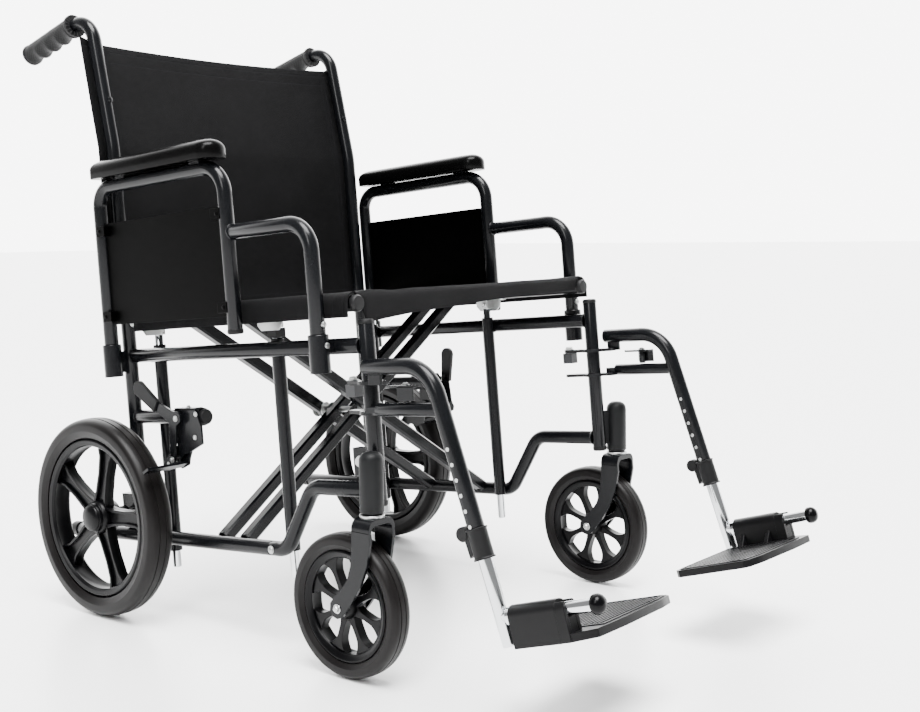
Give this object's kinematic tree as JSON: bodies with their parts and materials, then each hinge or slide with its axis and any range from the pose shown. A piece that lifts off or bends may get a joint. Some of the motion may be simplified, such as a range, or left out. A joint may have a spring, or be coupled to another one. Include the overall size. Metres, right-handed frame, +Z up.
{
  "type": "manual wheelchair",
  "caption": "Folding manual transport wheelchair with swing-away footrests, desk-length armrests, push handles, push-to-lock brakes and swivel front casters.",
  "frame": {"origin": "centre of the bounding box's bottom face, on the ground", "axes": "+Z up, -Y is the way the chair faces, -X is the occupant's right side"},
  "size_m": [0.716, 1.1948, 0.9728],
  "materials": {
    "frame_paint": "gloss dark grey powder coat",
    "chrome": "bright plated steel",
    "steel": "zinc plated",
    "black_plastic": "satin moulded",
    "grip_rubber": "textured push grip",
    "tyre": "solid grey-brown tyre",
    "nylon": "coated woven nylon",
    "vinyl": "moulded padded skin"
  },
  "bodies": {
    "side_frame_right": {"back_post_right": "frame_paint", "push_grip_right": "grip_rubber", "seat_frame_rail_right": "frame_paint", "lower_rail_right": "frame_paint", "front_post_right": "frame_paint", "guide_tube_front_right": "frame_paint", "guide_tube_rear_right": "frame_paint", "brake_tube_right": "frame_paint", "brake_bracket_right": "frame_paint", "back_sling": "nylon"},
    "brace_right": {"cross_brace_right": "frame_paint", "seat_rail_left": "frame_paint"},
    "brace_left": {"cross_brace_left": "frame_paint", "seat_rail_right": "frame_paint"},
    "side_frame_left": {"back_post_left": "frame_paint", "push_grip_left": "grip_rubber", "seat_frame_rail_left": "frame_paint", "lower_rail_left": "frame_paint", "front_post_left": "frame_paint", "guide_tube_front_left": "frame_paint", "guide_tube_rear_left": "frame_paint", "brake_tube_left": "frame_paint", "brake_bracket_left": "frame_paint"},
    "guides_right": {"guide_rod_front_right": "chrome", "guide_rod_rear_right": "chrome", "seat_sling": "nylon"},
    "guides_left": {"guide_rod_front_left": "chrome", "guide_rod_rear_left": "chrome"},
    "armrest_right": {"armrest_tube_right": "frame_paint", "armrest_panel_right": "black_plastic", "armrest_pad_right": "vinyl"},
    "rear_wheel_right": {"rear_wheel_right": "black_plastic", "rear_tyre_right": "tyre"},
    "caster_fork_right": {"caster_fork_right": "frame_paint"},
    "caster_wheel_right": {"caster_wheel_right": "black_plastic", "caster_tyre_right": "tyre"},
    "hanger_right": {"footrest_hanger_right": "frame_paint", "height_collar_right": "black_plastic"},
    "latch_right": {"hanger_latch_right": "steel"},
    "footrest_tube_right": {"footrest_tube_right": "chrome"},
    "footplate_right": {"footplate_right": "black_plastic"},
    "brake_lever_right": {"brake_lever_right": "frame_paint"},
    "brake_shoe_right": {"brake_shoe_right": "steel"},
    "armrest_left": {"armrest_tube_left": "frame_paint", "armrest_panel_left": "black_plastic", "armrest_pad_left": "vinyl"},
    "rear_wheel_left": {"rear_wheel_left": "black_plastic", "rear_tyre_left": "tyre"},
    "caster_fork_left": {"caster_fork_left": "frame_paint"},
    "caster_wheel_left": {"caster_wheel_left": "black_plastic", "caster_tyre_left": "tyre"},
    "hanger_left": {"footrest_hanger_left": "frame_paint", "height_collar_left": "black_plastic"},
    "latch_left": {"hanger_latch_left": "steel"},
    "footrest_tube_left": {"footrest_tube_left": "chrome"},
    "footplate_left": {"footplate_left": "black_plastic"},
    "brake_lever_left": {"brake_lever_left": "frame_paint"},
    "brake_shoe_left": {"brake_shoe_left": "steel"}
  },
  "joints": [
    {"name": "fold", "type": "hinge", "parent": "side_frame_right", "child": "brace_right", "pos_m": [-0.2683, 0.09748, 0.13675], "axis": [0, -0.9968, 0.0799], "range_deg": [0, 25], "deforming": ["seat_sling", "back_sling"]},
    {"name": "brace_cross", "type": "hinge", "parent": "brace_right", "child": "brace_left", "pos_m": [0, 0.11149, 0.31152], "axis": [0, -0.9968, 0.0799], "range_deg": [-50, 0]},
    {"name": "left_frame_upright", "type": "hinge", "parent": "brace_left", "child": "side_frame_left", "pos_m": [0.2683, 0.09748, 0.13675], "axis": [0, -0.9968, 0.0799], "range_deg": [0, 25]},
    {"name": "guides_right_upright", "type": "hinge", "parent": "brace_left", "child": "guides_right", "pos_m": [-0.2688, 0.12553, 0.48662], "axis": [0, -0.9968, 0.0799], "range_deg": [0, 25]},
    {"name": "guides_left_upright", "type": "hinge", "parent": "brace_right", "child": "guides_left", "pos_m": [0.2688, 0.12553, 0.48662], "axis": [0, -0.9968, 0.0799], "range_deg": [-25, 0]},
    {"name": "armrest_lift_right", "type": "slide", "parent": "side_frame_right", "child": "armrest_right", "axis": [0, 0.0799, 0.9968], "range_m": [0, 0.06]},
    {"name": "rear_wheel_spin_right", "type": "hinge", "parent": "side_frame_right", "child": "rear_wheel_right", "pos_m": [-0.331, 0.3396, 0.15875], "axis": [1, 0, 0], "continuous": true},
    {"name": "caster_swivel_right", "type": "hinge", "parent": "side_frame_right", "child": "caster_fork_right", "pos_m": [-0.298, -0.2309, 0.2], "axis": [0, 0, 1], "continuous": true},
    {"name": "caster_spin_right", "type": "hinge", "parent": "caster_fork_right", "child": "caster_wheel_right", "pos_m": [-0.298, -0.1859, 0.1], "axis": [1, 0, 0], "continuous": true},
    {"name": "hanger_swing_right", "type": "hinge", "parent": "side_frame_right", "child": "hanger_right", "pos_m": [-0.2683, -0.20541, 0.38425], "axis": [0, -0.0799, -0.9968], "range_deg": [0, 90]},
    {"name": "latch_turn_right", "type": "hinge", "parent": "hanger_right", "child": "latch_right", "pos_m": [-0.2888, -0.28804, 0.39589], "axis": [0, -0.0799, -0.9968], "range_deg": [0, 60]},
    {"name": "footrest_height_right", "type": "slide", "parent": "hanger_right", "child": "footrest_tube_right", "axis": [0, -0.3493, -0.937], "range_m": [-0.035, 0.055]},
    {"name": "footplate_flip_right", "type": "hinge", "parent": "footrest_tube_right", "child": "footplate_right", "pos_m": [-0.2888, -0.49446, 0.14321], "axis": [0, -0.9587, 0.2843], "range_deg": [0, 90]},
    {"name": "brake_lever_push_right", "type": "hinge", "parent": "side_frame_right", "child": "brake_lever_right", "pos_m": [-0.2935, 0.20061, 0.25939], "axis": [1, 0, 0], "range_deg": [0, 63]},
    {"name": "brake_shoe_press_right", "type": "slide", "parent": "side_frame_right", "child": "brake_shoe_right", "axis": [0, 0.8554, -0.518], "range_m": [0, 0.0116]},
    {"name": "armrest_lift_left", "type": "slide", "parent": "side_frame_left", "child": "armrest_left", "axis": [0, 0.0799, 0.9968], "range_m": [0, 0.06]},
    {"name": "rear_wheel_spin_left", "type": "hinge", "parent": "side_frame_left", "child": "rear_wheel_left", "pos_m": [0.331, 0.3396, 0.15875], "axis": [1, 0, 0], "continuous": true},
    {"name": "caster_swivel_left", "type": "hinge", "parent": "side_frame_left", "child": "caster_fork_left", "pos_m": [0.298, -0.2309, 0.2], "axis": [0, 0, 1], "continuous": true},
    {"name": "caster_spin_left", "type": "hinge", "parent": "caster_fork_left", "child": "caster_wheel_left", "pos_m": [0.298, -0.1859, 0.1], "axis": [1, 0, 0], "continuous": true},
    {"name": "hanger_swing_left", "type": "hinge", "parent": "side_frame_left", "child": "hanger_left", "pos_m": [0.2683, -0.20541, 0.38425], "axis": [0, 0.0799, 0.9968], "range_deg": [0, 90]},
    {"name": "latch_turn_left", "type": "hinge", "parent": "hanger_left", "child": "latch_left", "pos_m": [0.2888, -0.28804, 0.39589], "axis": [0, 0.0799, 0.9968], "range_deg": [0, 60]},
    {"name": "footrest_height_left", "type": "slide", "parent": "hanger_left", "child": "footrest_tube_left", "axis": [0, -0.3493, -0.937], "range_m": [-0.035, 0.055]},
    {"name": "footplate_flip_left", "type": "hinge", "parent": "footrest_tube_left", "child": "footplate_left", "pos_m": [0.2888, -0.49446, 0.14321], "axis": [0, 0.9587, -0.2843], "range_deg": [0, 90]},
    {"name": "brake_lever_push_left", "type": "hinge", "parent": "side_frame_left", "child": "brake_lever_left", "pos_m": [0.2935, 0.20061, 0.25939], "axis": [1, 0, 0], "range_deg": [-63, 0]},
    {"name": "brake_shoe_press_left", "type": "slide", "parent": "side_frame_left", "child": "brake_shoe_left", "axis": [0, 0.8554, -0.518], "range_m": [-0.0116, 0]}
  ],
  "couplings": [
    {"joint": "brace_cross", "follows": "fold", "ratio": -2},
    {"joint": "left_frame_upright", "follows": "fold", "ratio": 1},
    {"joint": "guides_right_upright", "follows": "fold", "ratio": 1},
    {"joint": "guides_left_upright", "follows": "fold", "ratio": -1},
    {"joint": "brake_shoe_press_right", "follows": "brake_lever_push_right", "m_per_rad": 0.01055},
    {"joint": "brake_shoe_press_left", "follows": "brake_lever_push_left", "m_per_rad": 0.01055}
  ]
}
